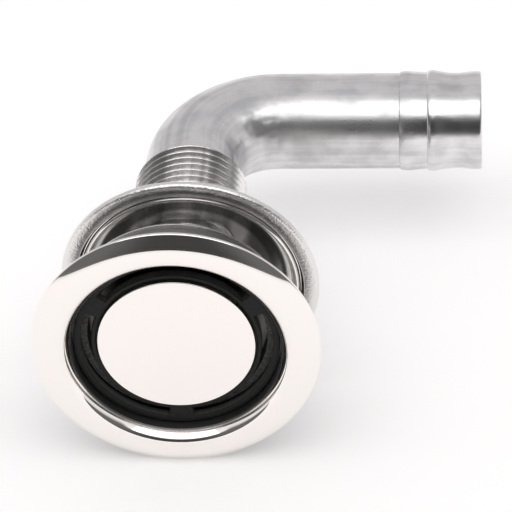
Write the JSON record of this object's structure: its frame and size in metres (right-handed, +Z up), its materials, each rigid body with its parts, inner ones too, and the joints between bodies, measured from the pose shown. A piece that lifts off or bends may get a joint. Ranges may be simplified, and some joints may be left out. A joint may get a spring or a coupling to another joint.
{
  "type": "thru hull fitting",
  "caption": "Flush thru hull fitting: domed round face with recessed centre cap, threaded stem with dished backing ring and lock nut, and a right-angle barbed hose tail.",
  "frame": {"origin": "on the stem's axis in the plane of the flange's flat back, the face that seats on the hull", "axes": "+Y along the stem into the boat, +X along the hose tail, +Z up; the domed face looks along -Y"},
  "size_m": [0.08, 0.0799, 0.0516],
  "materials": {
    "polished_steel": "mirror polished stainless steel",
    "cap_steel": "mirror polished stainless steel",
    "ring_steel": "polished stainless steel, finely grained rim",
    "thread_steel": "machined stainless steel",
    "tube_steel": "satin drawn stainless tube",
    "nut_steel": "machined stainless steel",
    "small_steel": "plain stainless steel",
    "screen_steel": "perforated stainless sheet",
    "spacer_plastic": "black moulded plastic",
    "baffle_plastic": "black moulded plastic, fine grain",
    "seal_rubber": "black rubber"
  },
  "bodies": {
    "fitting": {"face_flange": "polished_steel", "baffle": "baffle_plastic", "centre_cap": "cap_steel", "cap_washer": "small_steel", "cap_nut": "small_steel", "flame_screen": "screen_steel", "screen_spacer": "spacer_plastic", "threaded_stem": "thread_steel", "elbow_tail": "tube_steel"},
    "ring": {"backing_ring": "ring_steel", "ring_seal": "seal_rubber"},
    "nut": {"lock_nut": "nut_steel"}
  },
  "joints": [
    {"name": "ring_slide", "type": "slide", "parent": "fitting", "child": "ring", "axis": [0, 1, 0], "range_m": [-0.0065, 0.0155]},
    {"name": "nut_turn", "type": "hinge", "parent": "ring", "child": "nut", "pos_m": [0, 0.0275, 0], "axis": [0, 1, 0], "range_deg": [-1291, 3077]}
  ],
  "couplings": [
    {"joint": "nut_turn", "follows": "ring_slide", "rad_per_m": 3463.1}
  ]
}
